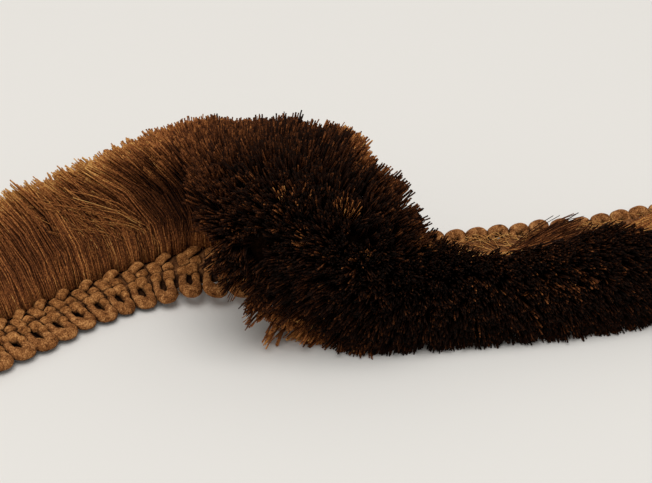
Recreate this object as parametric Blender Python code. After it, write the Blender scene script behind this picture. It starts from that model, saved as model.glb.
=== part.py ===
"""Brush fringe: a woven heading with looped cord along one edge and a dense cut brush on the other.

A cut length lies on a table. Its left end lies on the heading's back with the brush pointing away. Near the
middle the band rises, makes a half twist and lies down again face under, with the brush pointing to the front.
"""
import math
import random

import bmesh
import bpy
import numpy as np

MM = 0.001

# Sections along the middle line of the heading and its loops.
# x, y and z are in mm. band is the heading's turn about that line in degrees: 0 lies flat with the brush pointing
# away, 90 stands on its loops and 180 lies flat with the brush to the front. brush is the turn of the brush's middle
# and flare its spread to each side. plan is the direction in plan that the strands stand square to. arch is how much
# more the top strands rise at the root than at the tip, and splay how far the back strands lean along the band.
SECTION_COLUMNS = ("x", "y", "z", "band", "brush", "plan", "flare", "arch", "splay")
SECTIONS = (
    (-76.2, -41.4, 1.7, 0, 13, 36, 13, 10, 0),
    (-60.9, -28.8, 1.7, 0, 13.5, 32, 13.5, 10, 0),
    (-48.6, -17.6, 1.7, 0, 16, 26, 15.5, 10, 0),
    (-41.1, -12.9, 1.9, 4, 20.5, 20, 17, 9, 0),
    (-34.4, -10.7, 3.1, 7, 29.5, 12, 19.5, 7, 0),
    (-27.8, -10.1, 4.6, 13, 46, -3, 26, 3, 0),
    (-21.5, -10.5, 5.8, 26, 67, -17, 35, 0, 3),
    (-15.0, -11.0, 6.7, 50, 90, -30, 40, 0, 12),
    (-9.5, -10.8, 7.0, 82, 107, -41, 43, 0, 24),
    (-5.0, -9.9, 6.8, 113, 124, -47, 48, 0, 35),
    (-0.5, -8.3, 5.8, 138, 140, -47, 52, 0, 43),
    (4.5, -5.7, 4.3, 156, 149, -39, 43, 0, 43),
    (11.5, -2.5, 3.0, 169, 154, -24, 32, 0, 28),
    (21.0, 0.8, 2.1, 177, 157, -11, 25, -2, 10),
    (32.0, 3.0, 1.7, 180, 160, 0, 20, -5, 2),
    (44.9, 5.3, 1.7, 180, 160, 7, 20, -5, 0),
    (58.0, 8.8, 1.7, 180, 159, 11, 21, -5, 0),
    (71.8, 13.0, 1.7, 180, 158, 13, 22, -5, 0),
    (87.8, 18.4, 1.7, 180, 157, 14, 23, -5, 0),
)
COURSE_STEPS = 2400

# The origin lies on the table under the middle of the whole length.
ORIGIN_X = -0.4
ORIGIN_Y = -9.9

# Distances across the band are measured from the root line, where the brush leaves the heading, out to its tips.
MIDDLE_LINE = -6.5

# Gap between pieces that touch
GAP = 0.3

# Cut brush and the narrow strip that holds its roots
BRUSH_LENGTH = 27.6
STRIP_WIDTH = 1.3
STRIP_HALF = 1.65
ROOT_HALF = 1.5
LOCK_COLUMNS = 57
LOCK_ROWS = 5
LOCK_FILL_ALONG = 0.78
LOCK_FILL_ACROSS = 0.76
LOCK_LEVELS = (0.2, 0.7, 1.0)
LOCK_TIP_SHARE = 0.84
LOCK_UNEVEN = 0.03
LOCK_WANDER = 0.1
STRAND_STEPS = 16
ROOT_BEND = 0.18

# Woven heading
HEADING_OUTER = -GAP
HEADING_INNER = -7.3
HEADING_BACK = -1.7
HEADING_VALLEY = 0.8
HEADING_RIDGE = 1.7
HEADING_EDGE = 0.9
CHEVRON_REACH = 1.5
CHEVRON_EDGE_SHARE = 0.3
RIDGE_SHARE = 0.55

# Looped cord along the heading's free edge
LOOP_PITCH = 4.9
LOOP_LINE = -10.2
LOOP_INNER = HEADING_INNER - GAP
LOOP_TIP = -13.0
LOOP_HALF = 1.4
LOOP_INNER_HALF = 1.2
LOOP_ROUNDING = 0.8

# One loop, from the notch beside it round to the next. The columns are phase, a share of the pitch; reach, a share
# of the way from the heading to the loop's tip; and middle, the half thickness halfway out.
LOOP_SHAPE = (
    (0.0, 0.22, 1.0),
    (0.2, 0.78, 1.4),
    (0.5, 1.0, 0.5),
    (0.8, 0.78, 1.4),
)

BROWN_BRUSH = (0.115, 0.050, 0.014, 1.0)
BROWN_HEADING = (0.125, 0.054, 0.016, 1.0)
BROWN_LOOPS = (0.140, 0.060, 0.018, 1.0)


def through_rows(distances, rows, at):
    """Values at the given distances on a smooth curve through the rows, level between rows that are equal."""
    gaps = np.diff(distances)[:, None]
    slopes = np.diff(rows, axis=0) / gaps
    tangents = np.zeros_like(rows)
    tangents[0] = slopes[0]
    tangents[-1] = slopes[-1]
    before = 2 * gaps[1:] + gaps[:-1]
    after = gaps[1:] + 2 * gaps[:-1]
    same_way = slopes[:-1] * slopes[1:] > 0
    first = np.where(same_way, slopes[:-1], 1.0)
    second = np.where(same_way, slopes[1:], 1.0)
    mean = (before + after) / (before / first + after / second)
    tangents[1:-1] = np.where(same_way, mean, 0.0)
    span = np.clip(np.searchsorted(distances, at, side="right") - 1, 0, len(distances) - 2)
    width = gaps[span]
    t = (at - distances[span])[:, None] / width
    rise = 3 * t**2 - 2 * t**3
    leave = (t**3 - 2 * t**2 + t) * width * tangents[span]
    arrive = (t**3 - t**2) * width * tangents[span + 1]
    return (1 - rise) * rows[span] + rise * rows[span + 1] + leave + arrive


def unit(vectors):
    return vectors / np.linalg.norm(vectors, axis=-1, keepdims=True)


def path_length(points):
    return np.concatenate([[0.0], np.cumsum(np.linalg.norm(np.diff(points, axis=0), axis=1))])


def make_course():
    """The band's middle line and roots, their frames and their angles in radians, by distance along the middle."""
    rows = np.array(SECTIONS, float)
    rows[:, 0] -= ORIGIN_X
    rows[:, 1] -= ORIGIN_Y
    chord = path_length(rows[:, :3])
    values = through_rows(chord, rows, np.linspace(0.0, chord[-1], COURSE_STEPS))
    middle = values[:, :3]
    distance = path_length(middle)
    course = {"distance": distance}
    for column, name in enumerate(SECTION_COLUMNS[3:], 3):
        course[name] = np.radians(values[:, column])
    along = unit(np.gradient(middle, distance, axis=0))
    level = unit(np.cross((0.0, 0.0, 1.0), along))
    upright = np.cross(along, level)
    turn = course["band"][:, None]
    course["across"] = np.cos(turn) * level + np.sin(turn) * upright
    course["facing"] = np.cross(along, course["across"])
    course["root"] = middle - MIDDLE_LINE * course["across"]
    plan = course["plan"]
    course["lean_way"] = np.stack([np.cos(plan), np.sin(plan), 0 * plan], -1)
    course["out_way"] = np.stack([-np.sin(plan), np.cos(plan), 0 * plan], -1)
    return course


COURSE = make_course()
LENGTH = float(COURSE["distance"][-1])


def look_up(name, u):
    values = COURSE[name]
    if values.ndim == 1:
        return np.interp(u, COURSE["distance"], values)[:, None]
    return np.stack([np.interp(u, COURSE["distance"], column) for column in values.T], -1)


def on_band(u, w, n):
    """Points u along the middle line, w out from the root line and n towards the heading's face."""
    w = np.asarray(w, float)[:, None]
    n = np.asarray(n, float)[:, None]
    return look_up("root", u) + w * look_up("across", u) + n * look_up("facing", u)


def strand_way(u, v, t):
    """Direction of the strand rooted at u along and v across, at the share t of its length."""
    arch = look_up("arch", u)
    top = 1 + np.sign(arch) * v
    turn = look_up("brush", u) + v * look_up("flare", u) + arch * top * (1 - 2 * t)
    lean = look_up("splay", u) * (1 - v) / 2
    up = np.array([0.0, 0.0, 1.0])
    square = np.cos(turn) * look_up("out_way", u) + np.sin(turn) * up
    free = np.cos(lean) * square + np.sin(lean) * look_up("lean_way", u)
    loose = np.clip(t / ROOT_BEND, 0.0, 1.0)
    loose = loose * loose * (3 - 2 * loose)
    return unit((1 - loose) * look_up("across", u) + loose * free)


def in_brush(u, v, w):
    """Points w out from the root line on the strand rooted at u along and v across (-1 to 1)."""
    v = np.asarray(v, float)[:, None]
    w = np.asarray(w, float)[:, None]
    root_w = np.minimum(w, STRIP_WIDTH)
    points = look_up("root", u) + root_w * look_up("across", u) + v * ROOT_HALF * look_up("facing", u)
    t_end = np.maximum(w - STRIP_WIDTH, 0.0) / BRUSH_LENGTH
    for step in range(STRAND_STEPS):
        t = t_end * (step + 0.5) / STRAND_STEPS
        points += strand_way(u, v, t) * t_end * BRUSH_LENGTH / STRAND_STEPS
    return points


def spaced_along(line_w, pitch):
    """Distances along the middle line that are one pitch apart on the line line_w out from the root line."""
    u = COURSE["distance"]
    length = path_length(on_band(u, np.full(len(u), line_w), np.zeros(len(u))))
    count = int(length[-1] // pitch)
    start = (length[-1] - count * pitch) / 2
    return np.interp(start + pitch * np.arange(count + 1), length, u)


def material(name, colour):
    made = bpy.data.materials.new(name)
    made.use_nodes = True
    shader = made.node_tree.nodes["Principled BSDF"]
    shader.inputs["Base Color"].default_value = colour
    shader.inputs["Roughness"].default_value = 0.85
    shader.inputs["Metallic"].default_value = 0.0
    return made


def add_object(name, mesh_data, colour, smooth):
    bmesh.ops.recalc_face_normals(mesh_data, faces=mesh_data.faces)
    bmesh.ops.triangulate(mesh_data, faces=mesh_data.faces)
    mesh = bpy.data.meshes.new(name)
    mesh_data.to_mesh(mesh)
    mesh_data.free()
    mesh.materials.append(material(name, colour))
    if smooth:
        mesh.shade_smooth()
        mesh.set_sharp_from_angle(angle=math.radians(50))
    obj = bpy.data.objects.new(name, mesh)
    bpy.context.scene.collection.objects.link(obj)
    return obj


def skin_rings(rings):
    """Closed solid through rings of points, each ring with the same count."""
    mesh_data = bmesh.new()
    made = [[mesh_data.verts.new(point * MM) for point in ring] for ring in rings]
    count = len(made[0])
    for first, second in zip(made, made[1:]):
        for k in range(count):
            after = (k + 1) % count
            mesh_data.faces.new((first[k], first[after], second[after], second[k]))
    mesh_data.faces.new(made[0])
    mesh_data.faces.new(made[-1])
    return mesh_data


def heading_ring(u, chevron, height):
    """One rib of the heading: a flat back, and a face whose middle point falls back along the band."""
    middle = (HEADING_OUTER + HEADING_INNER) / 2
    ridge = RIDGE_SHARE * (HEADING_OUTER - HEADING_INNER) / 2
    edge = CHEVRON_EDGE_SHARE
    outline = np.array([
        (HEADING_INNER, HEADING_BACK, 0.0),
        (HEADING_OUTER, HEADING_BACK, 0.0),
        (HEADING_OUTER, HEADING_EDGE, edge),
        (middle + ridge, height, edge),
        (middle, HEADING_VALLEY, 1.0),
        (middle - ridge, height, edge),
        (HEADING_INNER, HEADING_EDGE, edge),
    ])
    w, n, fall = outline.T
    return on_band(u - chevron * fall, w, n)


def build_heading():
    ribs = spaced_along(LOOP_LINE, LOOP_PITCH / 2)
    rings = [heading_ring(0.0, 0.0, HEADING_VALLEY)]
    for index, u in enumerate(ribs[1:-1]):
        height = HEADING_RIDGE if index % 2 == 0 else HEADING_VALLEY
        rings.append(heading_ring(u, CHEVRON_REACH, height))
    rings.append(heading_ring(LENGTH, 0.0, HEADING_VALLEY))
    add_object("heading", skin_rings(rings), BROWN_HEADING, smooth=False)


def loop_ring(u, reach, middle):
    """One section of the looped edge, from the heading out to the cord's outer side and back."""
    tip = LOOP_INNER + reach * (LOOP_TIP - LOOP_INNER)
    shoulder = tip + LOOP_ROUNDING * reach
    halfway = (LOOP_INNER + tip) / 2
    shoulder_half = LOOP_HALF * (0.5 + 0.3 * reach)
    outline = np.array([
        (LOOP_INNER, -LOOP_INNER_HALF),
        (halfway, -middle),
        (shoulder, -shoulder_half),
        (tip, 0.0),
        (shoulder, shoulder_half),
        (halfway, middle),
        (LOOP_INNER, LOOP_INNER_HALF),
    ])
    w, n = outline.T
    return on_band(np.full(len(w), u), w, n)


def build_loop_edge():
    starts = spaced_along(LOOP_LINE, LOOP_PITCH)
    rings = []
    for start, end in zip(starts, starts[1:]):
        for phase, reach, middle in LOOP_SHAPE:
            rings.append(loop_ring(start + phase * (end - start), reach, middle))
    _, notch_reach, notch_middle = LOOP_SHAPE[0]
    rings.append(loop_ring(starts[-1], notch_reach, notch_middle))
    add_object("loop_edge", skin_rings(rings), BROWN_LOOPS, smooth=True)


def lock_edges():
    """Both sides of each column of locks, closer where the brush fans out."""
    u = COURSE["distance"]
    even = np.zeros(len(u))
    tips = in_brush(u, even, even + STRIP_WIDTH + BRUSH_LENGTH)
    measure = path_length(tips) + u
    bounds = np.interp(np.linspace(0.0, measure[-1], LOCK_COLUMNS + 1), measure, u)
    margin = np.diff(bounds) * (1 - LOCK_FILL_ALONG) / 2
    return np.stack([bounds[:-1] + margin, bounds[1:] - margin], -1).ravel()


def row_edges():
    """Both sides of each row of locks across the strip, as v."""
    bounds = np.linspace(-1.0, 1.0, LOCK_ROWS + 1)
    margin = np.diff(bounds) * (1 - LOCK_FILL_ACROSS) / 2
    return np.stack([bounds[:-1] + margin, bounds[1:] - margin], -1).ravel()


def strip_grid(mesh_data):
    """The root strip as a flat block in (u, v, w), its outer face cut into cells; returns the cells of the locks."""
    side = STRIP_HALF / ROOT_HALF
    columns = np.concatenate([[0.0], lock_edges(), [LENGTH]])
    rows = np.concatenate([[-side], row_edges(), [side]])
    outer = [[mesh_data.verts.new((u, v, STRIP_WIDTH)) for v in rows] for u in columns]
    inner = [[mesh_data.verts.new((u, v, 0.0)) for v in (rows[0], rows[-1])] for u in columns]
    cells = []
    for i in range(len(columns) - 1):
        for j in range(len(rows) - 1):
            corners = (outer[i][j], outer[i + 1][j], outer[i + 1][j + 1], outer[i][j + 1])
            face = mesh_data.faces.new(corners)
            if i % 2 == 1 and j % 2 == 1:
                cells.append(face)
        mesh_data.faces.new((inner[i][0], inner[i][1], inner[i + 1][1], inner[i + 1][0]))
        mesh_data.faces.new((inner[i][0], inner[i + 1][0], outer[i + 1][0], outer[i][0]))
        mesh_data.faces.new((inner[i][1], outer[i][-1], outer[i + 1][-1], inner[i + 1][1]))
    mesh_data.faces.new([inner[0][0]] + outer[0] + [inner[0][1]])
    mesh_data.faces.new([inner[-1][0]] + outer[-1] + [inner[-1][1]])
    return cells


def draw_in(face, share):
    """Draws the corners of a lock's end towards its middle."""
    middle = face.calc_center_median()
    for vert in face.verts:
        vert.co = middle + share * (vert.co - middle)


def grow_locks(mesh_data, cells):
    """Four-sided locks grown from their cells, level by level, a little uneven in length and place."""
    chance = random.Random(11)
    habits = []
    for face in cells:
        sides = [vert.co.x for vert in face.verts]
        length = 1 + chance.uniform(-LOCK_UNEVEN, LOCK_UNEVEN)
        wander = chance.uniform(-LOCK_WANDER, LOCK_WANDER) * (max(sides) - min(sides))
        habits.append((length, wander))
    before = 0.0
    for level in LOCK_LEVELS:
        grown = bmesh.ops.extrude_discrete_faces(mesh_data, faces=cells)
        cells = grown["faces"]
        for face, (length, wander) in zip(cells, habits):
            for vert in face.verts:
                vert.co.x += wander * (level - before)
                vert.co.z = STRIP_WIDTH + BRUSH_LENGTH * level * length
        before = level
    for face in cells:
        draw_in(face, LOCK_TIP_SHARE)


def build_brush():
    mesh_data = bmesh.new()
    cells = strip_grid(mesh_data)
    grow_locks(mesh_data, cells)
    flat = np.array([vert.co[:] for vert in mesh_data.verts])
    placed = in_brush(flat[:, 0], flat[:, 1], flat[:, 2])
    for vert, point in zip(mesh_data.verts, placed):
        vert.co = point * MM
    add_object("brush", mesh_data, BROWN_BRUSH, smooth=False)


def main():
    for obj in list(bpy.data.objects):
        bpy.data.objects.remove(obj)
    build_heading()
    build_loop_edge()
    build_brush()


main()
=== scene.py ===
"""Looks of the brush fringe: its yarns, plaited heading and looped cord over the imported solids."""
import math

import bpy
import numpy as np
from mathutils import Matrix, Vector

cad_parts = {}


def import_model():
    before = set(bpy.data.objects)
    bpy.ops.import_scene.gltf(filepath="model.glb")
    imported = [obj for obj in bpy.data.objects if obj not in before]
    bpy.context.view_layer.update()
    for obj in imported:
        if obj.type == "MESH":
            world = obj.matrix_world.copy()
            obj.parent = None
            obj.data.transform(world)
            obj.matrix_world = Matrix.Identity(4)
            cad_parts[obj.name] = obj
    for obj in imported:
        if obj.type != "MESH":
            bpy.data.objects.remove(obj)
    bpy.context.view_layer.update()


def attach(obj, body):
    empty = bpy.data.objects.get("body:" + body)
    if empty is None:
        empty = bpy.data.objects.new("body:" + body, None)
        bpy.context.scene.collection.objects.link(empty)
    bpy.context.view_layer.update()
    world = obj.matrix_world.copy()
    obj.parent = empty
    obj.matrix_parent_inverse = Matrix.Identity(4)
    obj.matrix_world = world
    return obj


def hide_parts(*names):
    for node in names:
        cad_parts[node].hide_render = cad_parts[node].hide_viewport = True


MM = 0.001
CHANCE = np.random.default_rng(7)
UP = np.array([0.0, 0.0, 1.0])

# Sections along the middle line of the heading and its loops, as the solids have them, in mm and degrees.
SECTION_COLUMNS = ("x", "y", "z", "band", "brush", "plan", "flare", "arch", "splay")
SECTIONS = (
    (-76.2, -41.4, 1.7, 0, 13, 36, 13, 10, 0),
    (-60.9, -28.8, 1.7, 0, 13.5, 32, 13.5, 10, 0),
    (-48.6, -17.6, 1.7, 0, 16, 26, 15.5, 10, 0),
    (-41.1, -12.9, 1.9, 4, 20.5, 20, 17, 9, 0),
    (-34.4, -10.7, 3.1, 7, 29.5, 12, 19.5, 7, 0),
    (-27.8, -10.1, 4.6, 13, 46, -3, 26, 3, 0),
    (-21.5, -10.5, 5.8, 26, 67, -17, 35, 0, 3),
    (-15.0, -11.0, 6.7, 50, 90, -30, 40, 0, 12),
    (-9.5, -10.8, 7.0, 82, 107, -41, 43, 0, 24),
    (-5.0, -9.9, 6.8, 113, 124, -47, 48, 0, 35),
    (-0.5, -8.3, 5.8, 138, 140, -47, 52, 0, 43),
    (4.5, -5.7, 4.3, 156, 149, -39, 43, 0, 43),
    (11.5, -2.5, 3.0, 169, 154, -24, 32, 0, 28),
    (21.0, 0.8, 2.1, 177, 157, -11, 25, -2, 10),
    (32.0, 3.0, 1.7, 180, 160, 0, 20, -5, 2),
    (44.9, 5.3, 1.7, 180, 160, 7, 20, -5, 0),
    (58.0, 8.8, 1.7, 180, 159, 11, 21, -5, 0),
    (71.8, 13.0, 1.7, 180, 158, 13, 22, -5, 0),
    (87.8, 18.4, 1.7, 180, 157, 14, 23, -5, 0),
)
COURSE_STEPS = 2400
ORIGIN_X = -0.4
ORIGIN_Y = -9.9
MIDDLE_LINE = -6.5
END_GAP = 0.1

# Pairs of numbers for fade() say where a smooth change starts and how much further on it ends, below 0 if it
# runs the other way.

# Brush: its length, and its root strip as w out from the root line and n towards the heading's face, in mm
BRUSH_LENGTH = 27.6
STRIP_OUTLINE = ((0.1, -1.2), (1.3, -1.4), (1.3, 1.4), (0.1, 1.2))
FLOOR_CLEAR = 0.1

# Roots of the yarns in mm, deeper and closer at the brush's faces, and the share of a yarn that bends
ROOT_W = 0.3
ROOT_HALF = 1.5
ROOT_FACE = (0.6, 0.4)
ROOT_DEEPER = 0.9
ROOT_CLOSER = 0.5
ROOT_BEND = 0.2
BEND_BACK = 1.15
GROWTH_STEPS = 12

# Yarns: those at the brush's faces run from the roots, and the others show only their upper part
FACE_CLUMPS = 1600
INNER_CLUMPS = 5200
END_CLUMPS = 45
YARNS_IN_CLUMP = 6
FACE_PIECES = 3
INNER_PIECES = 4
FACE_LEVELS = (0.0, 0.12, 0.32, 0.62, 0.84, 1.0)
INNER_LEVELS = (0.56, 0.8, 1.0)
END_LEVELS = (0.0, 0.3, 0.65, 1.0)
YARN_SIDES = 3
YARN_RADIUS = 0.145
RADIUS_ROOT = 0.9
RADIUS_MORE = 0.2
RADIUS_VARIES = (0.75, 1.25)

# Where the clumps stand: even steps over the cut face, and place across from 1 at the front to -1 at the back
EVEN_U = 0.7548776662
EVEN_V = 0.5698402910
PLACE_STRIDE = 20
PLACE_ROWS = 21
LEAST_AREA = 2.0
LEAST_PACE = 1.0
FACE_OUTER = 1.02
FACE_DEPTH = 0.07
FACE_DEEPEST = 0.35
INNER_JITTER = 0.2
KEEP_IN = 0.3
END_ACROSS = 0.98
END_INSET = 0.35

# Yarns within a clump, which spread, stray and wave in mm, and gather towards the loops at their roots
CLUMP_SPREAD = 0.65
SPREAD_LEFT = (-20.0, -10.0)
LEFT_SPREAD = 0.3
SPREAD_ROOT = 1.25
SPREAD_DRAWN = 0.4
LEAST_SPREAD = 0.02
STRAY_POWER = 1.5
STRAY_ASIDE = 0.35
STRAY_ALONG = 0.36
WAVE_SHARES = (0.2, 0.9)
WAVE_FIRST = 0.22
WAVE_SECOND = 0.1
GATHER = 0.5
GATHER_MOST = 2.0
GATHER_END = (0.0, 0.3)

# How far the face yarns are combed along the band, the front ones droop and the back ones lift, in degrees,
# by table x in mm
COMB_X = (-76.0, -60.0, -50.0, -45.0, -38.0, -31.0, -26.0, -21.0, -17.0, -14.0, -10.0, -6.0, -3.0, 1.0, 5.0)
COMB_LEAN = (6.0, 14.0, 20.0, 28.0, 44.0, 52.0, 46.0, 22.0, 0.0, -12.0, -28.0, -31.0, -24.0, -6.0, 0.0)
DROOP_X = (-20.0, -14.0, -10.0, -6.0, -2.0, 2.0)
DROOP_TURN = (0.0, 7.0, 14.0, 12.0, 4.0, 0.0)
LIFT_X = (34.0, 40.0, 46.0, 52.0, 58.0, 64.0)
LIFT_TURN = (0.0, 2.0, 6.0, 9.0, 1.0, -5.0)
COMB_ACROSS = (0.3, 0.7)
COMB_ALONG = (0.05, 0.8)
COMB_VARIES = (0.8, 1.1)
DROOP_PACE = 1.6

# How far the back and top yarns reach past the rest, by table x in mm, and which they are by place across
REACH_X = (-17.0, -12.0, -8.0, -4.5, 0.0, 4.0, 8.0, 14.0, 20.0, 27.0)
BACK_REACH = (0.0, 0.6, 2.2, 1.8, 2.4, -0.4, -2.4, -2.6, -1.2, 0.0)
TOP_X = (-26.0, -20.0, -13.0, -8.0)
TOP_REACH = (0.0, -1.6, -2.0, 0.0)
BACK_PART = (-0.4, -0.4)
TOP_PART = (0.7, -0.5)

# The largest share of its length that a front yarn falls short by, by table x in mm
SHORT_X = (-62.0, -48.0, -40.0, -28.0, -20.0, -9.0, -6.0, -2.0, 0.0, 4.0, 7.0, 10.0, 13.0)
SHORT_SHARE = (0.06, 0.16, 0.26, 0.26, 0.06, 0.0, 0.24, 0.27, 0.3, 0.28, 0.2, 0.1, 0.0)
FRONT_PART = (0.2, 0.6)
MANY_SHORT_FROM = -10.0
MANY_SHORT = 0.3
FEW_SHORT = 1.5

# Lengths of all yarns in mm: how far they fall short of the brush, how uneven, and how much less in front
YARN_SHORTER = 0.4
YARN_VARIES = 0.32
FRONT_LESS = 0.7
LESS_FROM = (0.0, 8.0)

# How lit the yarns are by table x in mm, against painted shade: on the front and back faces, with painted
# highlights at the tips of the back and front edges and at all tips. At the right the lit faces are thinner
# and end before the tips.
FRONT_X = (-36.0, -31.0, -27.0, -23.0, -10.0, -5.0, 2.0, 8.0)
FRONT_LIT = (1.0, 0.6, 0.2, 0.04, 0.02, 0.12, 0.15, 0.05)
BACK_X = (-42.0, -26.0, -18.0, -12.0, -6.0, 2.0, 8.0, 16.0)
BACK_LIT = (1.0, 0.6, 0.5, 0.3, 0.2, 0.15, 0.5, 0.9)
RIM_X = (-22.0, -15.0, -8.0, -4.0, 0.0)
RIM_HIGHLIGHT = (0.4, 0.9, 0.75, 0.3, 0.1)
CORNER_X = (-7.0, -4.0, -1.0, 4.0, 8.0, 14.0)
CORNER_HIGHLIGHT = (0.0, 0.3, 0.75, 0.85, 0.45, 0.0)
TIP_X = (-36.0, -28.0, -22.0, -16.0, -9.0, -2.0)
TIP_HIGHLIGHT = (1.0, 0.75, 0.4, 0.24, 0.08, 0.0)
FACE_FROM = 0.6
FACE_OVER = 0.35
FACE_RIGHT = (6.0, 8.0)
FACE_RIGHT_FROM = 0.26
FACE_RIGHT_OVER = 0.22
FACE_RIGHT_END = (0.66, 0.2)
LEFT_LIT = 0.7
LEFT_PART = (-34.0, -6.0)
TIP_PART = (0.6, 0.35)
EDGE_ACROSS = (0.68, 0.3)
EDGE_ALONG = (0.7, 0.3)
ROOT_LIT = 0.9
ROOT_PART = (0.36, -0.22)

# Tone of the yarns from painted shade to painted light, and the painted highlight of lit yarns along their
# length
TONE_AT = (0.0, 0.35, 0.6, 0.82, 1.0)
TONE_MORE = (0.02, -0.09, -0.05, 0.03, 0.34)
SHADE_TONE = 0.15
LIT_TONE = 0.36
CLUMP_TONES = 0.035
YARN_TONES = 0.085
# A few yarns lighter at random and more in the rumpled patches, as painted glints
GLINT_YARNS = (-1.5, 1.0)
GLINT_YARN_MORE = 0.1
LIT_MORE = 0.24
# Where the cut ends get painted shade, by table x in mm
SHADED_ENDS = (-31.0, 10.0)

# How uneven the lean of neighbouring yarns is, by table x in mm, and the waves that make it so
TOUSLED_X = (-36.0, -24.0, -14.0, 10.0, 24.0)
TOUSLED = (0.02, 0.08, 0.15, 0.13, 0.05)
TOUSLE_WAVES = 16
TOUSLE_LENGTHS = (2.5, 9.0)
TOUSLE_SKEW = 9.0
TOUSLE_LEAN = 0.35
SWAY = 0.06
SWAY_MORE = 5.0
CALM_BACK = (-0.5, -0.4)
CALM_LEFT = 0.65
CALM_RIGHT = 0.35
CALM_FROM = (10.0, 10.0)

# Locks that stand out of the dense brush: table x in mm, place across, sway, how far out, combing and tone
LOCKS = (
    (-5.5, 0.12, (0.1, -0.1, 0.15), 0.5, 1.0, 0.53),
    (-4.8, 0.0, (0.3, 0.0, 0.1), 0.5, 1.0, 0.53),
    (-1.9, -0.38, (-0.05, 0.1, -0.1), 1.5, 1.0, 0.54),
    (-1.5, -0.41, (0.05, 0.0, -0.02), 1.0, 1.0, 0.54),
    (-0.6, 0.05, (-0.1, 0.1, 0.1), 0.6, 1.0, 0.54),
    (3.2, -0.12, (0.25, 0.1, 0.1), 0.0, 1.0, 0.53),
    (-8.6, 0.95, (0.0, 0.0, -0.1), -1.5, 0.9, 0.36),
    (-7.6, 1.0, (0.05, 0.0, -0.12), -1.5, 1.0, 0.42),
    (-6.8, 0.95, (-0.05, 0.0, -0.1), -4.0, 0.9, 0.36),
    (-5.8, 1.0, (0.1, 0.0, -0.1), -6.0, 1.0, 0.42),
    (-4.4, 1.0, (-0.1, 0.0, 0.0), -6.0, 0.8, 0.46),
    (-2.4, 1.0, (-0.12, 0.0, 0.0), -4.5, 0.6, 0.5),
    (-11.0, 0.95, (0.0, 0.0, -0.16), -1.0, 0.8, 0.34),
    (-10.2, 1.0, (0.05, 0.0, -0.18), -0.5, 0.8, 0.36),
    (-9.4, 0.95, (0.0, 0.0, -0.16), -1.0, 0.9, 0.34),
)
YARNS_IN_LOCK = 14
LOCK_LEVELS = (0.55, 0.7, 0.82, 0.92, 1.0)
LOCK_JITTER = 0.12
LOCK_ACROSS = 0.02
LOCK_SWAY = 0.05
LOCK_VARIES = 0.7

# Rumpled patches with painted glints: table x in mm, place across, their reaches, and the share of yarns
# drawn lighter as painted glints
RUFFLED_GLINTS = (
    (-5.2, 0.08, 0.9, 0.12, 0.4),
    (-1.8, -0.4, 0.7, 0.08, 0.12),
    (-0.5, 0.05, 0.7, 0.1, 0.15),
    (3.2, -0.12, 1.0, 0.1, 0.35),
    (29.0, -0.35, 4.0, 0.2, 0.16),
    (44.0, -0.3, 4.5, 0.24, 0.48),
    (47.5, -0.02, 0.8, 0.07, 0.8),
    (42.0, 0.25, 0.6, 0.06, 0.7),
    (37.0, 0.45, 0.5, 0.06, 0.7),
    (63.5, -0.35, 4.0, 0.25, 0.25),
)

# Yarns of the back face swept along the band: table x of their roots in mm, how many, where they rise over
# the heading, how far, and their tone
SWEPT = (
    (4.0, 33.0, 520, 200.0, 0.0, 0.84),
    (22.0, 33.5, 300, 34.0, 11.0, 0.34),
    (36.0, 66.0, 380, 200.0, 0.0, 0.7),
    (42.0, 68.0, 300, 55.0, 7.0, 0.61),
)

# How the swept yarns leave their roots, fan out, rise over the heading and lie on it, in mm and shares
SWEPT_LEVELS = 8
SWEPT_SHORTER = 2.0
SWEPT_LENGTHS = (0.75, 1.02)
SWEPT_BEND = 1.15
LEAVE = 2.4
LEAVE_PACE = 1.3
LEAVE_LEAST = 0.2
LEAVE_MORE = 0.9
SWEPT_START = (-3.0, 5.0)
RISE_OVER = 25.0
RISE_LEAST = 0.1
RISE_MORE = 1.05
RISE_POWER = 0.8
SWEPT_W = 0.2
SWEPT_FANS = 0.5
SWEPT_WAVES = 0.12
SWEPT_LIFT = 1.5
LIFT_MORE = 1.15
LIFT_VARIES = 0.5
SWEPT_DROPS = 0.5
OVER_LEAST = 1.8
OVER_VARIES = 2.4
OVER_PACE = 3.0

# Lighter yarns that stray over the combed front face, with table x in mm
STRAYS = 130
STRAY_PLACES = (-46.5, -34.0)
STRAY_ACROSS = (1.0, 1.12)
STRAY_SWAY = 0.12
STRAY_LENGTHS = (0.5, 0.95)
STRAY_COMBING = (1.2, 2.6)
STRAY_LEVELS = (0.0, 0.15, 0.35, 0.6, 0.8, 1.0)
STRAY_TONE = 0.61

# Radius of the single yarns outside the clumps in mm, and how they taper, turn and vary
LOOSE_RADIUS = {"swept_yarns": 0.13, "stray_yarns": 0.1, "locks": 0.12, "back_hairs": 0.08}
LOOSE_END = 0.8
LOOSE_TURNS = 0.05
LOOSE_TONES = 0.13

# Fine fibres on the heading's back: where they lie in mm, their turn in radians, and how they bend and lift
BACK_HAIRS = 1300
HAIR_LEVELS = 5
HAIR_START = 1.0
HAIR_STOP = 3.0
HAIR_W = (-9.5, 0.0)
HAIR_TURN = (0.35, 0.7)
HAIR_LENGTHS = (1.5, 5.0)
HAIR_BEND = 0.5
HAIR_FLAT = 0.1
HAIR_LIMITS = (-11.5, 0.8)
HAIR_BACK = -1.62
HAIR_DEPTH = 0.12
HAIR_LIFT = 0.5
HAIR_LIFTED = (-0.5, 0.6)
HAIR_TONE = 0.78

# Dark inside of the brush, painted shade that shows between the yarns, in shares of the yarns' length and
# places across
CORE_LEVELS = (0.0, 0.18, 0.36, 0.54, 0.72)
CORE_ACROSS = 0.66
CORE_WALLS = 7
CORE_RINGS = 170
CORE_INSET = 1.0

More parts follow.
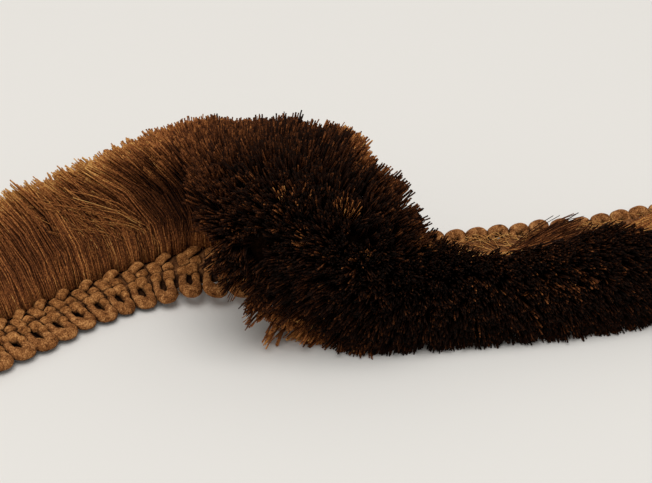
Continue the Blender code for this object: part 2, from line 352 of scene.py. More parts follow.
# Heading and loops in mm, and how far the loops drift along the edge by table x
HEADING_OUTER = 1.2
HEADING_INNER = -8.8
HEADING_BACK = -1.55
HEADING_FACE = 0.85
HEADING_RIM = -0.5
LOOP_PITCH = 4.9
LOOP_LINE = -10.2
DRIFT_X = (-60.0, -46.0, -38.0, -30.0, 4.0, 20.0)
LOOP_DRIFT = (-0.5, -0.6, -1.5, -1.4, 1.7, 1.8)
BAND_INSET = 0.2
BAND_POINTS = 9
BAND_FACE_W = (-0.8, -6.6)
BAND_BACK_W = -7.6
BAND_STEP_W = -7.4
BAND_ROUND = 0.4
BAND_EDGE = 0.3
CORD_SIDES = 12
CORD_FLOOR = 0.06

# Cords of one loop and of the plait over it: u off the loop's middle, w and n in mm
LOOP_CORD = (
    (-0.95, -6.2, -0.4),
    (-1.20, -7.0, 0.30),
    (-1.50, -7.9, 0.45),
    (-1.55, -8.8, 0.40),
    (-1.40, -9.9, 0.25),
    (-0.90, -10.8, 0.10),
    (-0.10, -11.4, -0.05),
    (0.85, -11.45, -0.15),
    (1.50, -10.9, -0.15),
    (1.70, -9.8, 0.05),
    (1.60, -8.8, 0.20),
    (1.45, -7.9, 0.25),
    (1.15, -7.0, 0.10),
    (0.90, -6.2, -0.5),
)
LOOP_LEVELS = 48
BAR_CORD = ((-0.5, -2.9, 1.1), (0.2, -2.2, 1.55), (1.2, -1.3, 1.6), (2.2, -0.5, 1.1))
LEFT_SLAB = (
    (-1.6, -0.9, 0.3),
    (-1.4, -1.8, 0.95),
    (-1.15, -3.4, 1.0),
    (-0.95, -4.6, 0.95),
    (-0.85, -5.2, 0.5),
)
LEFT_KNOT = ((-1.45, -5.0, 0.5), (-1.3, -5.7, 0.95), (-1.15, -6.8, 1.0), (-1.1, -7.5, 0.5))
RIGHT_SLAB = ((0.9, -2.7, 0.4), (1.15, -3.3, 0.9), (1.45, -4.3, 0.95), (1.55, -5.0, 0.5))
RIGHT_KNOT = ((0.95, -4.8, 0.4), (1.0, -5.5, 1.0), (1.05, -6.8, 1.05), (1.05, -7.7, 0.5))
LOW_KNOT = ((1.45, -7.3, 0.5), (1.55, -7.9, 0.85), (1.65, -8.8, 0.8), (1.7, -9.4, 0.35))

# Plait: each cord's name, path, half widths and points along
PLAIT = (
    ("plait_bars", BAR_CORD, 1.1, 0.9, 14),
    ("left_slabs", LEFT_SLAB, 1.25, 0.8, 14),
    ("left_knots", LEFT_KNOT, 1.2, 0.8, 9),
    ("right_slabs", RIGHT_SLAB, 1.25, 0.8, 10),
    ("right_knots", RIGHT_KNOT, 1.3, 0.8, 10),
    ("low_knots", LOW_KNOT, 0.95, 0.75, 9),
)
PLAIT_JITTER = (0.12, 0.12, 0.07)
CORD_DRAWN_IN = 8
CORD_END = 0.03

# Loops in mm: their cord, how it changes at the right where they are turned out, and its wider outer lobe
LOOP_WIDE = 0.95
LOOP_TALL = 0.9
LOOP_JITTER = (0.08, 0.12, 0.06)
LOOP_TURNED = (4.0, 9.0)
LEVEL_AGAIN = (48.0, 10.0)
LEVEL_SHARE = 0.6
LOOP_OUT = (-7.2, -1.4)
LOOP_LOBE = (-9.4, -1.3)
TURNED_OUT = 1.35
TURNED_OUT_LOBE = 0.5
TURNED_DOWN = 0.4
TURNED_TALLER = 0.35
LOBE_WIDER = 0.55
WIDER_LESS = 0.1
LOBE_TALLER = 0.3
TALLER_LESS = 0.05

# Bake cells of the yarns: how tall for their width, how full, and their parts for a yarn and its cut ends
CELL_TALL = 5.3
CELL_FULL = 0.98
CELL_YARN = 0.86
CELL_TIP = 0.88
CELL_CAP = 0.12

# Linear colours, with their positions where they make a ramp; the yarn ramp runs from painted shade to
# painted highlight
YARN_COLOURS = (
    (0.0, (0.006, 0.0042, 0.0032)),
    (0.2, (0.022, 0.0083, 0.0046)),
    (0.4, (0.12, 0.038, 0.0125)),
    (0.6, (0.33, 0.114, 0.034)),
    (0.8, (0.52, 0.222, 0.06)),
    (1.0, (0.74, 0.41, 0.13)),
)
# Painted shade on the cut ends
CUT_END_SHADE = (0.006, 0.004, 0.003)
# Painted shade for the inside of the brush
CORE_SHADE_COLOURS = ((0.35, (0.008, 0.0035, 0.0018)), (0.65, (0.022, 0.009, 0.004)))
CORD_STOPS = (0.38, 0.51, 0.65)
HEADING_COLOURS = ((0.055, 0.016, 0.0045), (0.31, 0.119, 0.033), (0.70, 0.34, 0.115))
LOOP_COLOURS = ((0.055, 0.016, 0.0045), (0.27, 0.102, 0.030), (0.70, 0.34, 0.12))
# Painted shade on the woven ground
GROUND_SHADE_COLOURS = ((0.03, 0.010, 0.004), (0.14, 0.052, 0.017), (0.38, 0.165, 0.06))
# Painted shade in the cords' creases
CREASE_SHADE = (0.012, 0.005, 0.003)

# Lamp in metres, and camera in mm and degrees
LAMP_PLACE = (-0.1, -0.3, 1.5)
LOOK_AT = (0.4, 9.9, 6.0)
CAMERA_RISE = 33.0
CAMERA_AWAY = 300.0
CAMERA_LENS = 77.02


def through_rows(distances, rows, at):
    """Values at the given distances on a smooth curve through the rows, level between rows that are equal."""
    gaps = np.diff(distances)[:, None]
    slopes = np.diff(rows, axis=0) / gaps
    tangents = np.zeros_like(rows)
    tangents[0] = slopes[0]
    tangents[-1] = slopes[-1]
    before = 2 * gaps[1:] + gaps[:-1]
    after = gaps[1:] + 2 * gaps[:-1]
    same_way = slopes[:-1] * slopes[1:] > 0
    first = np.where(same_way, slopes[:-1], 1.0)
    second = np.where(same_way, slopes[1:], 1.0)
    mean = (before + after) / (before / first + after / second)
    tangents[1:-1] = np.where(same_way, mean, 0.0)
    span = np.clip(np.searchsorted(distances, at, side="right") - 1, 0, len(distances) - 2)
    width = gaps[span]
    t = (at - distances[span])[:, None] / width
    rise = 3 * t**2 - 2 * t**3
    leave = (t**3 - 2 * t**2 + t) * width * tangents[span]
    arrive = (t**3 - t**2) * width * tangents[span + 1]
    return (1 - rise) * rows[span] + rise * rows[span + 1] + leave + arrive


def unit(vectors):
    return vectors / np.linalg.norm(vectors, axis=-1, keepdims=True)


def path_length(points):
    return np.concatenate([[0.0], np.cumsum(np.linalg.norm(np.diff(points, axis=0), axis=1))])


def make_course():
    """The band's roots, frames and angles in radians, by distance along its middle line."""
    rows = np.array(SECTIONS, float)
    rows[:, 0] -= ORIGIN_X
    rows[:, 1] -= ORIGIN_Y
    chord = path_length(rows[:, :3])
    values = through_rows(chord, rows, np.linspace(0.0, chord[-1], COURSE_STEPS))
    middle = values[:, :3]
    distance = path_length(middle)
    course = {"distance": distance}
    for column, name in enumerate(SECTION_COLUMNS[3:], 3):
        course[name] = np.radians(values[:, column])
    along = unit(np.gradient(middle, distance, axis=0))
    level = unit(np.cross(UP, along))
    upright = np.cross(along, level)
    turn = course["band"][:, None]
    course["along"] = along
    course["across"] = np.cos(turn) * level + np.sin(turn) * upright
    course["facing"] = np.cross(along, course["across"])
    course["root"] = middle - MIDDLE_LINE * course["across"]
    course["place"] = middle[:, 0] + ORIGIN_X
    course["comb"] = np.radians(np.interp(course["place"], COMB_X, COMB_LEAN))
    course["lift"] = np.radians(np.interp(course["place"], LIFT_X, LIFT_TURN))
    course["droop"] = np.radians(np.interp(course["place"], DROOP_X, DROOP_TURN))
    plan = course["plan"]
    course["lean_way"] = np.stack([np.cos(plan), np.sin(plan), 0 * plan], -1)
    course["out_way"] = np.stack([-np.sin(plan), np.cos(plan), 0 * plan], -1)
    return course


COURSE = make_course()
LENGTH = float(COURSE["distance"][-1])


def look_up(name, u):
    values = COURSE[name]
    if values.ndim == 1:
        return np.interp(u, COURSE["distance"], values)[:, None]
    return np.stack([np.interp(u, COURSE["distance"], column) for column in values.T], -1)


def on_band(u, w, n):
    """Points u along the middle line, w out from the root line and n towards the heading's face."""
    w = np.asarray(w, float)[:, None]
    n = np.asarray(n, float)[:, None]
    return look_up("root", u) + w * look_up("across", u) + n * look_up("facing", u)


def spaced_along(line_w, pitch):
    """Distances along the middle line that are one pitch apart on the line line_w out from the root line."""
    u = COURSE["distance"]
    length = path_length(on_band(u, np.full(len(u), line_w), np.zeros(len(u))))
    count = int(length[-1] // pitch)
    start = (length[-1] - count * pitch) / 2
    return np.interp(start + pitch * np.arange(count + 1), length, u)


def loop_edges():
    """Distances along the middle line where one loop meets the next, drawn on a little by the twist."""
    edges = spaced_along(LOOP_LINE, LOOP_PITCH)
    place = np.interp(edges, COURSE["distance"], COURSE["place"])
    edges = edges + np.interp(place, DRIFT_X, LOOP_DRIFT)
    return edges[(edges > END_GAP) & (edges < LENGTH - END_GAP)]


LOOP_EDGES = loop_edges()
LOOP_MIDDLES = (LOOP_EDGES[:-1] + LOOP_EDGES[1:]) / 2


def smooth_share(t):
    t = np.clip(t, 0.0, 1.0)
    return t * t * (3 - 2 * t)


def fade(value, start, over):
    """Smooth share of the way from start to over further on, which is backwards where over is below 0."""
    return smooth_share((value - start) / over)


def strand_way(u, v, t, combing):
    """Direction of the strand rooted at u along and v across, at the share t of its length."""
    arch = look_up("arch", u)
    top = 1 + np.sign(arch) * v
    turn = look_up("brush", u) + v * look_up("flare", u) + arch * top * (1 - 2 * t)
    turn = turn + look_up("droop", u) * smooth_share(v) * smooth_share(DROOP_PACE * t)
    turn = turn - look_up("lift", u) * smooth_share(-v)
    lean = look_up("splay", u) * (1 - v) / 2
    comb = np.tan(look_up("comb", u)) * fade(v, *COMB_ACROSS) * fade(t, *COMB_ALONG) * combing
    square = np.cos(turn) * look_up("out_way", u) + np.sin(turn) * UP
    free = np.cos(lean) * square + (np.sin(lean) - comb) * look_up("lean_way", u)
    loose = smooth_share(t / (ROOT_BEND * (BEND_BACK - smooth_share(v))))
    return unit((1 - loose) * look_up("across", u) + loose * free)


def grow(u, v, length, sway, levels, combing=1.0):
    """Points at the given shares of strands rooted at u along and v across, each swayed off its way."""
    outer = fade(np.abs(v), *ROOT_FACE)
    point = on_band(u, ROOT_W - ROOT_DEEPER * outer, v * (ROOT_HALF - ROOT_CLOSER * outer))
    points = [point]
    stops = sorted({0.0, *levels})
    for before, after in zip(stops, stops[1:]):
        steps = max(1, round((after - before) * GROWTH_STEPS))
        for k in range(steps):
            t = before + (after - before) * (k + 0.5) / steps
            way = unit(strand_way(u, v[:, None], t, combing) + t * sway)
            point = point + way * (length * (after - before) / steps)[:, None]
        points.append(point)
    return np.stack(points, 1)[:, len(stops) - len(levels):]


def face_tips(u, side):
    still = np.zeros((len(u), 3))
    return grow(u, np.full(len(u), side), np.full(len(u), BRUSH_LENGTH), still, (0.0, 0.5, 1.0))[:, -1]


def even_picks(count, step):
    """Numbers from 0 to 1 that fill the range evenly however many are taken."""
    return (0.5 + np.arange(count) * step) % 1.0


def clump_places(count):
    """Places spread evenly over the brush's cut face: distance along, and place across from -1 to 1."""
    u = COURSE["distance"][::PLACE_STRIDE]
    v = np.linspace(-1.0, 1.0, PLACE_ROWS)
    tips = np.stack([face_tips(u, side) for side in v], 1)
    across = np.gradient(tips, v, axis=1)
    along = np.gradient(tips, u, axis=0)
    area = np.linalg.norm(np.cross(along, across), axis=-1) + LEAST_AREA
    row_total = np.concatenate([[0.0], np.cumsum(area.mean(1)[1:] * np.diff(u))])
    place_u = np.interp(even_picks(count, EVEN_U) * row_total[-1], row_total, u)
    rows = np.cumsum(area, axis=1)
    rows = (rows - rows[:, :1]) / (rows[:, -1:] - rows[:, :1])
    near = np.clip(np.searchsorted(u, place_u), 0, len(u) - 1)
    picks = zip(even_picks(count, EVEN_V), near)
    place_v = np.array([np.interp(share, rows[k], v) for share, k in picks])
    return place_u, place_v


def face_places(count):
    """Places on the brush's two faces, spread evenly along their roots and tips."""
    u = COURSE["distance"][::PLACE_STRIDE]
    half = count // 2
    places = []
    for side in (1.0, -1.0):
        pace = np.linalg.norm(np.gradient(face_tips(u, side), u, axis=0), axis=1) + LEAST_PACE
        total = np.concatenate([[0.0], np.cumsum(pace[1:] * np.diff(u))])
        v = side * (FACE_OUTER - np.minimum(CHANCE.exponential(FACE_DEPTH, half), FACE_DEEPEST))
        places.append((np.interp(even_picks(half, EVEN_U) * total[-1], total, u), v))
    us, vs = zip(*places)
    return np.concatenate(us), np.concatenate(vs)


def end_places():
    """Places across the brush's two end faces."""
    v = np.linspace(-END_ACROSS, END_ACROSS, END_CLUMPS)
    u = np.concatenate([np.full(END_CLUMPS, END_INSET), np.full(END_CLUMPS, LENGTH - END_INSET)])
    return u, np.concatenate([v, v])


def cross_frames(paths, reference):
    """The way of each path at each of its points, and two directions square to it."""
    ways = unit(np.gradient(paths, axis=1))
    first = unit(reference[:, None, :] - (reference[:, None, :] * ways).sum(-1, keepdims=True) * ways)
    return ways, first, np.cross(ways, first)


def tube_faces(count, levels):
    """Corners of the walls and end caps of tubes whose rings are numbered one after another."""
    base = (np.arange(count) * levels * YARN_SIDES)[:, None, None]
    ring = (np.arange(levels - 1) * YARN_SIDES)[None, :, None]
    side = np.arange(YARN_SIDES)[None, None, :]
    low = base + ring
    high = low + YARN_SIDES
    after = (side + 1) % YARN_SIDES
    quads = np.stack([low + side, low + after, high + after, high + side], -1).reshape(-1, 4)
    root_caps = base[:, 0] + np.arange(YARN_SIDES)[::-1][None, :]
    tip_caps = base[:, 0] + (levels - 1) * YARN_SIDES + np.arange(YARN_SIDES)[None, :]
    return quads, np.concatenate([root_caps, tip_caps])


def tube_mesh(name, paths, radii, reference):
    """Closed tubes along the paths (count, levels, 3) in mm, with one bake cell for each tube."""
    count, levels, _ = paths.shape
    _, first, second = cross_frames(paths, reference)
    angle = 2 * np.pi * np.arange(YARN_SIDES) / YARN_SIDES
    turn = angle[None, None, :, None] + CHANCE.uniform(0, 2 * np.pi, (count, 1, 1, 1))
    outward = np.cos(turn) * first[:, :, None, :] + np.sin(turn) * second[:, :, None, :]
    rings = paths[:, :, None, :] + radii[:, :, None, None] * outward
    verts = rings.reshape(-1, 3) * MM
    quads, caps = tube_faces(count, levels)
    mesh = bpy.data.meshes.new(name)
    mesh.vertices.add(len(verts))
    mesh.vertices.foreach_set("co", verts.ravel())
    corners = np.concatenate([quads.ravel(), caps.ravel()])
    mesh.loops.add(len(corners))
    mesh.loops.foreach_set("vertex_index", corners.astype(np.int32))
    totals = np.concatenate([np.full(len(quads), 4), np.full(len(caps), YARN_SIDES)])
    starts = np.concatenate([[0], np.cumsum(totals)[:-1]])
    mesh.polygons.add(len(totals))
    mesh.polygons.foreach_set("loop_start", starts.astype(np.int32))
    mesh.update(calc_edges=True)
    mesh.shade_smooth()
    cut = np.arange(len(totals)) >= len(quads)
    store(mesh, "sharp_face", "BOOLEAN", "FACE", cut)
    # Cut ends start in full painted shade; build_yarns sets each one's share
    store(mesh, "cut", "FLOAT", "FACE", cut.astype(np.float32))
    mesh.uv_layers.new(name="OFBake").data.foreach_set("uv", bake_cells(count, levels).ravel())
    return mesh


def store(mesh, name, kind, domain, values):
    mesh.attributes.new(name, kind, domain).data.foreach_set("value", values)


def store_tone(mesh, tone):
    """Keep the yarns' tones (count, levels) on the points of their rings."""
    store(mesh, "tone", "FLOAT", "POINT", np.repeat(tone.ravel(), YARN_SIDES).astype(np.float32))


def bake_cells(count, levels):
    """One upright cell for each tube: its length up the cell, and its cut end in the cell's top."""
    columns = max(1, int(math.sqrt(count * CELL_TALL)))
    rows = -(-count // columns)
    left = (np.arange(count) % columns) / columns
    low = (np.arange(count) // columns) / rows
    width = CELL_FULL / columns
    height = CELL_FULL / rows
    rise = CELL_YARN * np.arange(levels) / (levels - 1)
    quad = np.empty((count, levels - 1, YARN_SIDES, 4, 2))
    for corner, (x, step) in enumerate(((0, 0), (1, 0), (1, 1), (0, 1))):
        quad[..., corner, 0] = (left + x * width)[:, None, None]
        quad[..., corner, 1] = (low[:, None] + height * rise[None, step:levels - 1 + step])[:, :, None]
    turn = 2 * np.pi * (np.arange(YARN_SIDES) + 0.5) / YARN_SIDES
    disc = np.stack([0.5 + 0.5 * np.cos(turn), 0.5 + 0.5 * np.sin(turn)], -1)
    caps = np.empty((2, count, YARN_SIDES, 2))
    for k, floor in enumerate((0.0, CELL_TIP)):
        caps[k, ..., 0] = left[:, None] + width * disc[None, :, 0]
        caps[k, ..., 1] = low[:, None] + height * (floor + CELL_CAP * disc[None, :, 1])
    return np.concatenate([quad.reshape(-1, 2), caps.reshape(-1, 2)])


def add_object(name, data):
    obj = bpy.data.objects.new(name, data)
    bpy.context.scene.collection.objects.link(obj)
    return obj


def add_piece(name, mesh, material, replaced=()):
    obj = add_object(name, mesh)
    mesh.materials.append(material)
    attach(obj, "root")
    if replaced:
        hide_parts(*replaced)
    return obj


def new_material(name, roughness, specular):
    material = bpy.data.materials.new(name)
    material.use_nodes = True
    nodes = material.node_tree.nodes
    shader = nodes["Principled BSDF"]
    shader.inputs["Roughness"].default_value = roughness
    shader.inputs["Specular IOR Level"].default_value = specular
    return material, nodes, material.node_tree.links, shader


def add_node(nodes, kind, **values):
    """Shader node with the given values on its inputs."""
    node = nodes.new("ShaderNode" + kind)
    for name, value in values.items():
        node.inputs[name.replace("_", " ")].default_value = value
    return node


def ramp_node(nodes, stops):
    ramp = add_node(nodes, "ValToRGB")
    elements = ramp.color_ramp.elements
    elements[0].position, elements[0].color = stops[0][0], (*stops[0][1], 1)
    elements[1].position, elements[1].color = stops[-1][0], (*stops[-1][1], 1)
    for position, colour in stops[1:-1]:
        elements.new(position).color = (*colour, 1)
    return ramp


def noise_node(nodes, links, scale, detail=2.0, roughness=0.5):
    """Noise over the object's own coordinates."""
    place = add_node(nodes, "TexCoord")
    noise = add_node(nodes, "TexNoise", Scale=scale, Detail=detail, Roughness=roughness)
    links.new(place.outputs["Object"], noise.inputs["Vector"])
    return noise


def yarn_material():
    """Grainy yarn whose tone carries painted light and shade, with painted shade on its cut ends where it
    says so.
    """
    material, nodes, links, shader = new_material("brush_yarn_look", 0.8, 0.03)
    tone = add_node(nodes, "Attribute")
    tone.attribute_name = "tone"
    cut = add_node(nodes, "Attribute")
    cut.attribute_name = "cut"
    grain = noise_node(nodes, links, 2600.0, 2.0, 0.7)
    twice = add_node(nodes, "Math")
    twice.operation = "MULTIPLY"
    twice.inputs[1].default_value = 2.0
    links.new(grain.outputs["Fac"], twice.inputs[0])
    shade = add_node(nodes, "Math")
    shade.operation = "MULTIPLY"
    links.new(twice.outputs[0], shade.inputs[0])
    links.new(tone.outputs["Fac"], shade.inputs[1])
    ramp = ramp_node(nodes, YARN_COLOURS)
    links.new(shade.outputs[0], ramp.inputs["Fac"])
    # Painted shade on the cut ends, by the cut attribute
    mix = add_node(nodes, "Mix")
    mix.data_type = "RGBA"
    mix.inputs["B"].default_value = (*CUT_END_SHADE, 1)
    links.new(cut.outputs["Fac"], mix.inputs["Factor"])
    links.new(ramp.outputs["Color"], mix.inputs["A"])
    links.new(mix.outputs["Result"], shader.inputs["Base Color"])
    return material


def core_shade_material():
    """Very dark brown, a little uneven: painted shade for the depth of the brush."""
    material, nodes, links, shader = new_material("core_shade_look", 1.0, 0.0)
    grain = noise_node(nodes, links, 1500.0)
    ramp = ramp_node(nodes, CORE_SHADE_COLOURS)
    links.new(grain.outputs["Fac"], ramp.inputs["Fac"])
    links.new(ramp.outputs["Color"], shader.inputs["Base Color"])
    return material


def cord_material(name, colours):
    """Soft fibrous cord: speckled brown, with painted shade, near black, in its creases."""
    material, nodes, links, shader = new_material(name, 0.85, 0.06)
    speckle = noise_node(nodes, links, 3300.0, 3.0, 0.75)
    patch = noise_node(nodes, links, 700.0)
    blend = add_node(nodes, "Mix", Factor=0.35)
    links.new(speckle.outputs["Fac"], blend.inputs["A"])
    links.new(patch.outputs["Fac"], blend.inputs["B"])
    ramp = ramp_node(nodes, list(zip(CORD_STOPS, colours)))
    links.new(blend.outputs["Result"], ramp.inputs["Fac"])
    # Painted shade in creases, from ambient occlusion
    crease = add_node(nodes, "AmbientOcclusion", Distance=0.0022)
    crease.samples = 8
    depth = add_node(nodes, "MapRange", From_Min=0.22, From_Max=0.78)
    links.new(crease.outputs["AO"], depth.inputs["Value"])
    mix = add_node(nodes, "Mix")
    mix.data_type = "RGBA"
    mix.inputs["A"].default_value = (*CREASE_SHADE, 1)
    links.new(depth.outputs["Result"], mix.inputs["Factor"])
    links.new(ramp.outputs["Color"], mix.inputs["B"])
    links.new(mix.outputs["Result"], shader.inputs["Base Color"])
    bump = add_node(nodes, "Bump", Strength=0.8, Distance=0.00025)
    links.new(speckle.outputs["Fac"], bump.inputs["Height"])
    links.new(bump.outputs["Normal"], shader.inputs["Normal"])
    return material


def front_or_back(v, place, front, back):
    """Values by table x, from the front table where v is above 0 and else from the back one."""
    return np.where(v[:, None] > 0, np.interp(place, *front), np.interp(place, *back))


def lit_share(u, v, levels):
    """How lit the yarns are at each level, painted light against painted shade: their faces more than their
    dense inside.
    """
    place = look_up("place", u)
    t = np.array(levels)[None, :]
    across = np.abs(v)[:, None]
    right = fade(place, *FACE_RIGHT)
    from_middle = across - FACE_FROM - FACE_RIGHT_FROM * right
    at_face = smooth_share(from_middle / (FACE_OVER - FACE_RIGHT_OVER * right))
    face = front_or_back(v, place, (FRONT_X, FRONT_LIT), (BACK_X, BACK_LIT))
    face = face * (1 - right * fade(t, *FACE_RIGHT_END))
    inside = LEFT_LIT * fade(place, *LEFT_PART)
    tips = np.interp(place, TIP_X, TIP_HIGHLIGHT) * fade(t, *TIP_PART)
    edge = front_or_back(v, place, (CORNER_X, CORNER_HIGHLIGHT), (RIM_X, RIM_HIGHLIGHT))
    edge = edge * fade(across, *EDGE_ACROSS) * fade(t, *EDGE_ALONG)
    roots = ROOT_LIT * fade(t, *ROOT_PART) * at_face
    return np.maximum.reduce([face * at_face, inside + 0 * t, tips, edge, roots])


def lock_shift(u):
    """How far each yarn's root moves towards the middle of its lock, two locks to a loop."""
    edges = np.sort(np.concatenate([LOOP_EDGES, LOOP_MIDDLES]))
    middles = (edges[:-1] + edges[1:]) / 2
    near = middles[np.clip(np.searchsorted(edges, u) - 1, 0, len(middles) - 1)]
    return GATHER * np.clip(near - u, -GATHER_MOST, GATHER_MOST)


def tousle(u, v):
    """A smooth uneven lean of neighbouring yarns: a sum of waves over the cut face."""
    waves = np.random.default_rng(11)
    lean = np.zeros((len(u), 3))
    for _ in range(TOUSLE_WAVES):
        along = u * 2 * np.pi / waves.uniform(*TOUSLE_LENGTHS)
        across = v * waves.uniform(-TOUSLE_SKEW, TOUSLE_SKEW)
        turn = along + across + waves.uniform(0, 2 * np.pi)
        lean += np.sin(turn)[:, None] * waves.normal(0, TOUSLE_LEAN, 3)
    return lean


def ruffled_glint_share(v, place):
    """Share of yarns at each place that sway more and are drawn lighter as painted glints, from the list of
    rumpled patches.
    """
    share = np.zeros(len(v))
    for x, across, reach_x, reach_across, part in RUFFLED_GLINTS:
        far = ((place - x) / reach_x) ** 2 + ((v - across) / reach_across) ** 2
        share = np.maximum(share, part * np.exp(-far))
    return share


def clump_lengths(v, place):
    """Lengths of the clumps in mm by place across and table x."""
    length = BRUSH_LENGTH - YARN_SHORTER + CHANCE.normal(0, YARN_VARIES, len(v))
    length -= FRONT_LESS * fade(v, *FRONT_PART) * fade(place, *LESS_FROM)
    length += fade(v, *BACK_PART) * np.interp(place, REACH_X, BACK_REACH)
    length += fade(v, *TOP_PART) * np.interp(place, TOP_X, TOP_REACH)
    power = np.where(place > MANY_SHORT_FROM, MANY_SHORT, FEW_SHORT)
    uneven = CHANCE.random(len(v)) ** power * fade(v, *FRONT_PART)
    return length * (1 - uneven * np.interp(place, SHORT_X, SHORT_SHARE))


def clump_centres(u, v, place, ruffle_glint, levels):
    """Paths of the clumps' middles, each with its own length, lean and combing."""
    length = clump_lengths(v, place)
    tousled = np.interp(place, TOUSLED_X, TOUSLED)
    tousled *= 1 - fade(v, *CALM_BACK) * (CALM_LEFT + CALM_RIGHT * fade(place, *CALM_FROM))
    more = 1 + SWAY_MORE * ruffle_glint + SWAY_MORE * tousled
    sway = CHANCE.normal(0, SWAY, (len(u), 3)) * more[:, None]
    sway += tousle(u, v) * tousled[:, None]
    return grow(u, v, length, sway, levels, CHANCE.uniform(*COMB_VARIES, (len(u), 1)))


def yarn_paths(u, place, centres, levels, pick):
    """Paths of single yarns round the middles of their clumps: pick gives each yarn's clump."""
    total = len(pick)
    t = np.array(levels)[None, :]
    ways, first, second = cross_frames(centres, look_up("lean_way", u))
    turn = CHANCE.uniform(0, 2 * np.pi, (total, 1))
    spread = CLUMP_SPREAD * (1 + LEFT_SPREAD * fade(place, *SPREAD_LEFT))[pick][:, None]
    reach = np.sqrt(CHANCE.uniform(LEAST_SPREAD, 1.0, (total, 1))) * spread * (SPREAD_ROOT - SPREAD_DRAWN * t)
    stray = t ** STRAY_POWER
    wave = (t > WAVE_SHARES[0]) * (t < WAVE_SHARES[1])
    paths = centres[pick]
    for direction, aside, waves in ((first, np.cos(turn), WAVE_FIRST), (second, np.sin(turn), WAVE_SECOND)):
        off = aside * reach + CHANCE.normal(0, STRAY_ASIDE, (total, 1)) * stray
        off = off + CHANCE.normal(0, waves, (total, len(levels))) * wave
        paths = paths + off[..., None] * direction[pick]
    paths += (CHANCE.normal(0, STRAY_ALONG, (total, 1)) * stray)[..., None] * ways[pick]
    gather = lock_shift(u[pick])[:, None] * (1 - fade(t, *GATHER_END))
    return paths + gather[..., None] * look_up("along", u)[pick][:, None, :]


def yarn_tones(u, v, place, ruffle_glint, levels, pick):
    """Painted light and shade of each yarn at its levels, with painted glints, and the painted shade on its
    cut end.
    """
    total = len(pick)
    # Painted light against painted shade, with painted highlights at tips and edges
    lit_amount = lit_share(u, v, levels)
    tone = SHADE_TONE + LIT_TONE * lit_amount + lit_amount * np.interp(levels, TONE_AT, TONE_MORE)
    tone = (tone + CHANCE.normal(0, CLUMP_TONES, (len(u), 1)))[pick]
    tone = tone + CHANCE.normal(0, YARN_TONES, (total, 1))
    # Painted glints: a few yarns lighter at random, and more in the rumpled patches
    tone += np.maximum(CHANCE.normal(*GLINT_YARNS, (total, 1)), 0) * GLINT_YARN_MORE
    lit = CHANCE.random(total) < ruffle_glint[pick]
    tone += LIT_MORE * lit[:, None]
    # Painted shade on the cut end where the tip is not lit, but not on glinting yarns
    dark = fade(place, *SHADED_ENDS) * (1 - np.clip(lit_amount[:, -1], 0.0, 1.0))
    return tone, dark[pick] * ~lit


def build_yarns(name, u, v, levels, pieces, material):
    """Cut yarns in small clumps, in joined pieces."""
    place = look_up("place", u)[:, 0]
    ruffle_glint = ruffled_glint_share(v, place)
    pick = np.repeat(np.arange(len(u)), YARNS_IN_CLUMP)
    centres = clump_centres(u, v, place, ruffle_glint, levels)
    paths = yarn_paths(u, place, centres, levels, pick)
    taper = RADIUS_ROOT + RADIUS_MORE * np.array(levels)[None, :]
    radii = YARN_RADIUS * taper * CHANCE.uniform(*RADIUS_VARIES, (len(pick), 1))
    paths[..., 2] = np.maximum(paths[..., 2], FLOOR_CLEAR + radii)
    tone, end_shade = yarn_tones(u, v, place, ruffle_glint, levels, pick)
    reference = look_up("lean_way", u)[pick]
    for piece in range(pieces):
        mine = np.arange(len(pick)) % pieces == piece
        piece_name = f"{name}_{piece + 1}"
        mesh = tube_mesh(piece_name, paths[mine], radii[mine], reference[mine])
        # Painted shade on each yarn's cut end
        caps = mesh.attributes["cut"].data
        shown = np.zeros(len(caps), np.float32)
        shown[-mine.sum():] = end_shade[mine]
        caps.foreach_set("value", shown)
        store_tone(mesh, tone[mine])
        add_piece(piece_name, mesh, material, ("brush",))


def distance_at(place):
    """Distance along the middle line at the given table x."""
    return np.interp(place, COURSE["place"], COURSE["distance"])


def loose_yarns(name, paths, tone, material):
    """Joined single yarns along the paths (count, levels, 3) in mm."""
    count, levels, _ = paths.shape
    narrowing = np.linspace(1.0, LOOSE_END, levels)[None, :]
    radii = LOOSE_RADIUS[name] * CHANCE.uniform(*RADIUS_VARIES, (count, 1)) * narrowing
    paths[..., 2] = np.maximum(paths[..., 2], FLOOR_CLEAR + radii)
    reference = np.repeat(UP[None], count, 0) + CHANCE.normal(0, LOOSE_TURNS, (count, 3))
    mesh = tube_mesh(name, paths, radii, reference)
    store_tone(mesh, tone + CHANCE.normal(0, LOOSE_TONES, (count, 1)) + np.zeros((1, levels)))
    add_piece(name, mesh, material)


